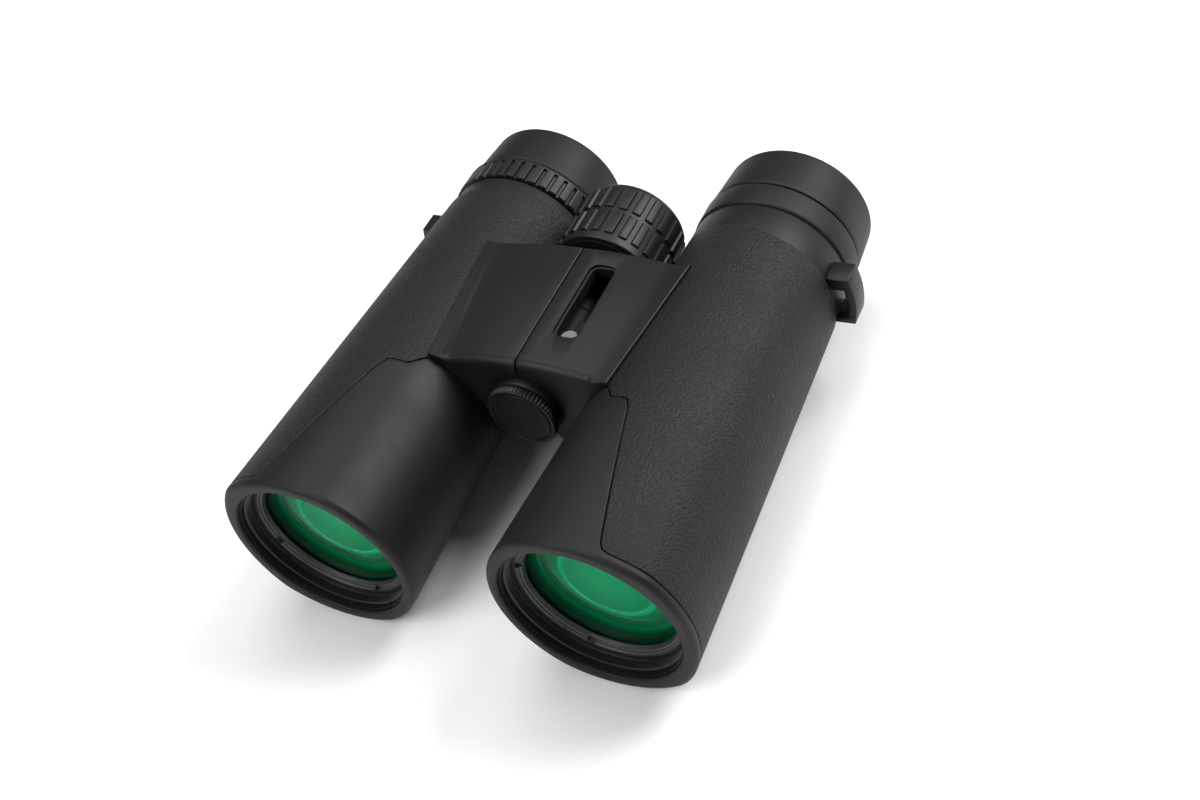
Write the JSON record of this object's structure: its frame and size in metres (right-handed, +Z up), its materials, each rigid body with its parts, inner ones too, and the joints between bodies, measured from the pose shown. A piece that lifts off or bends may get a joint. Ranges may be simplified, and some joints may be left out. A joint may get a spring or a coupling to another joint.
{
  "type": "binoculars",
  "caption": "Roof-prism binoculars with rubber-armoured barrels on a central hinge, ribbed focus wheel, dioptre ring and twist-up eyecups.",
  "frame": {"origin": "centre of the bounding box's underside, on the surface the barrels lie on", "axes": "+Y from the objectives to the eyepieces, +Z up through the bridge, +X towards the user's left barrel"},
  "size_m": [0.128, 0.139, 0.052],
  "materials": {
    "chassis": "satin black, glass-filled",
    "textured_armour": "fine pebble grain",
    "smooth_armour": "smooth matte",
    "bridge_plastic": "satin",
    "eyecup_rubber": "smooth matte",
    "wheel_rubber": "ribbed matte",
    "seal_rubber": "smooth",
    "lens_mount": "black anodised",
    "objective_glass": "green anti-reflection coating",
    "eye_glass": "coated",
    "glass": "clear",
    "steel": "machined",
    "brass": "machined",
    "index_plastic": "satin pale grey"
  },
  "bodies": {
    "right_half": {"right_barrel_tube": "chassis", "right_armour": "textured_armour", "right_front_panel": "smooth_armour", "right_objective_cell": "lens_mount", "right_objective_lens": "objective_glass", "right_objective_retainer": "lens_mount", "right_prism_frame": "chassis", "right_schmidt_prism": "glass", "right_half_penta_prism": "glass", "right_eyepiece_housing": "smooth_armour", "right_eyecup_guide": "chassis", "right_eye_lens": "eye_glass", "right_strap_lug": "chassis", "right_bridge_cover": "bridge_plastic", "right_hinge_arm": "chassis", "tripod_socket_pin": "brass", "rear_hinge_pin": "steel", "hinge_washers": "brass", "hinge_collar": "bridge_plastic"},
    "left_half": {"left_barrel_tube": "chassis", "left_armour": "textured_armour", "left_front_panel": "smooth_armour", "left_objective_cell": "lens_mount", "left_objective_lens": "objective_glass", "left_objective_retainer": "lens_mount", "left_prism_frame": "chassis", "left_schmidt_prism": "glass", "left_half_penta_prism": "glass", "left_eyepiece_housing": "smooth_armour", "left_eyecup_guide": "chassis", "left_eye_lens": "eye_glass", "left_strap_lug": "chassis", "left_bridge_cover": "bridge_plastic", "left_hinge_arm": "chassis", "left_field_lens_cell": "lens_mount", "left_field_lens": "glass", "eyepiece_collar": "bridge_plastic"},
    "focus_wheel": {"focus_screw": "steel", "focus_wheel_hub": "chassis", "focus_wheel_grip": "wheel_rubber", "focus_wheel_end_cap": "bridge_plastic"},
    "right_focus_group": {"right_focusing_cell": "lens_mount", "right_focusing_lens": "glass", "right_focus_arm": "steel", "focus_carriage": "steel"},
    "left_focus_group": {"left_focusing_cell": "lens_mount", "left_focusing_lens": "glass", "left_focus_arm": "steel", "focus_index": "index_plastic"},
    "dioptre_control": {"dioptre_ring": "eyecup_rubber"},
    "dioptre_lens_group": {"right_field_lens_cell": "lens_mount", "right_field_lens": "glass"},
    "right_eyecup_drive": {"right_eyecup_drive_ring": "chassis"},
    "right_eyecup": {"right_eyecup_sleeve": "chassis", "right_rubber_eyecup": "eyecup_rubber"},
    "left_eyecup_drive": {"left_eyecup_drive_ring": "chassis"},
    "left_eyecup": {"left_eyecup_sleeve": "chassis", "left_rubber_eyecup": "eyecup_rubber"},
    "cap_seal": {"tripod_cap_seal": "seal_rubber"},
    "cap": {"tripod_cap": "bridge_plastic"}
  },
  "joints": [
    {"name": "hinge_fold", "type": "hinge", "parent": "right_half", "child": "left_half", "pos_m": [0, 0, 0.035], "axis": [0, 1, 0], "range_deg": [0, 58]},
    {"name": "focus_turn", "type": "hinge", "parent": "right_half", "child": "focus_wheel", "pos_m": [0, 0, 0.035], "axis": [0, 1, 0], "range_deg": [0, 450]},
    {"name": "right_focus_slide", "type": "slide", "parent": "right_half", "child": "right_focus_group", "axis": [0, 1, 0], "range_m": [0, 0.005]},
    {"name": "left_focus_slide", "type": "slide", "parent": "left_half", "child": "left_focus_group", "axis": [0, 1, 0], "range_m": [0, 0.005]},
    {"name": "dioptre_turn", "type": "hinge", "parent": "right_half", "child": "dioptre_control", "pos_m": [-0.037, 0, 0.026], "axis": [0, 1, 0], "range_deg": [-60, 60]},
    {"name": "dioptre_slide", "type": "slide", "parent": "right_half", "child": "dioptre_lens_group", "axis": [0, 1, 0], "range_m": [-0.0012, 0.0012]},
    {"name": "right_eyecup_turn", "type": "hinge", "parent": "right_half", "child": "right_eyecup_drive", "pos_m": [-0.037, 0, 0.026], "axis": [0, 1, 0], "range_deg": [0, 120]},
    {"name": "right_eyecup_rise", "type": "slide", "parent": "right_eyecup_drive", "child": "right_eyecup", "axis": [0, 1, 0], "range_m": [0, 0.008]},
    {"name": "left_eyecup_turn", "type": "hinge", "parent": "left_half", "child": "left_eyecup_drive", "pos_m": [0.037, 0, 0.026], "axis": [0, 1, 0], "range_deg": [0, 120]},
    {"name": "left_eyecup_rise", "type": "slide", "parent": "left_eyecup_drive", "child": "left_eyecup", "axis": [0, 1, 0], "range_m": [0, 0.008]},
    {"name": "cap_travel", "type": "slide", "parent": "right_half", "child": "cap_seal", "axis": [0, -1, 0], "range_m": [0, 0.008]},
    {"name": "cap_turn", "type": "hinge", "parent": "cap_seal", "child": "cap", "pos_m": [0, 0, 0.035], "axis": [0, -1, 0], "range_deg": [0, 2268]}
  ],
  "couplings": [
    {"joint": "right_focus_slide", "follows": "focus_turn", "m_per_rad": 0.00063662},
    {"joint": "left_focus_slide", "follows": "focus_turn", "m_per_rad": 0.00063662},
    {"joint": "dioptre_slide", "follows": "dioptre_turn", "m_per_rad": 0.0011459},
    {"joint": "right_eyecup_rise", "follows": "right_eyecup_turn", "m_per_rad": 0.0038197},
    {"joint": "left_eyecup_rise", "follows": "left_eyecup_turn", "m_per_rad": 0.0038197},
    {"joint": "cap_turn", "follows": "cap_travel", "rad_per_m": 4947.4}
  ]
}
